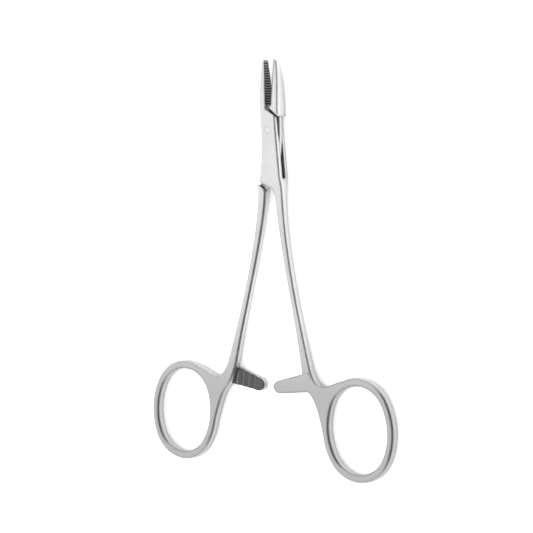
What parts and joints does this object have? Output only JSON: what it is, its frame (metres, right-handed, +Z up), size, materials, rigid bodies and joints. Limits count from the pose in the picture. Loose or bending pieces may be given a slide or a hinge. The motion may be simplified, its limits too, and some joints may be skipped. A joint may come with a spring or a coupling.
{
  "type": "surgical needle holder",
  "caption": "Straight needle holder with short serrated jaws, a box lock on a flush pin, slim bowed shanks, a ratchet and oval finger rings, half open.",
  "frame": {"origin": "on the pivot pin's axis, in the plane of the box's back face, on which the instrument lies", "axes": "+Z up through the thickness, towards the front face; +Y from the pin towards the jaw tips; +X to the right, the side of the box half's finger ring"},
  "size_m": [0.0944, 0.1312, 0.0048],
  "materials": {
    "satin_steel": "fine satin",
    "pin_steel": "ground flush"
  },
  "bodies": {
    "box_body": {"box_half": "satin_steel", "pivot_pin": "pin_steel"},
    "tongue_body": {"tongue_half": "satin_steel"}
  },
  "joints": [
    {"name": "box_lock_pivot", "type": "hinge", "parent": "box_body", "child": "tongue_body", "pos_m": [0, 0, 0.0024], "axis": [0, 0, 1], "range_deg": [-26, 9]}
  ]
}
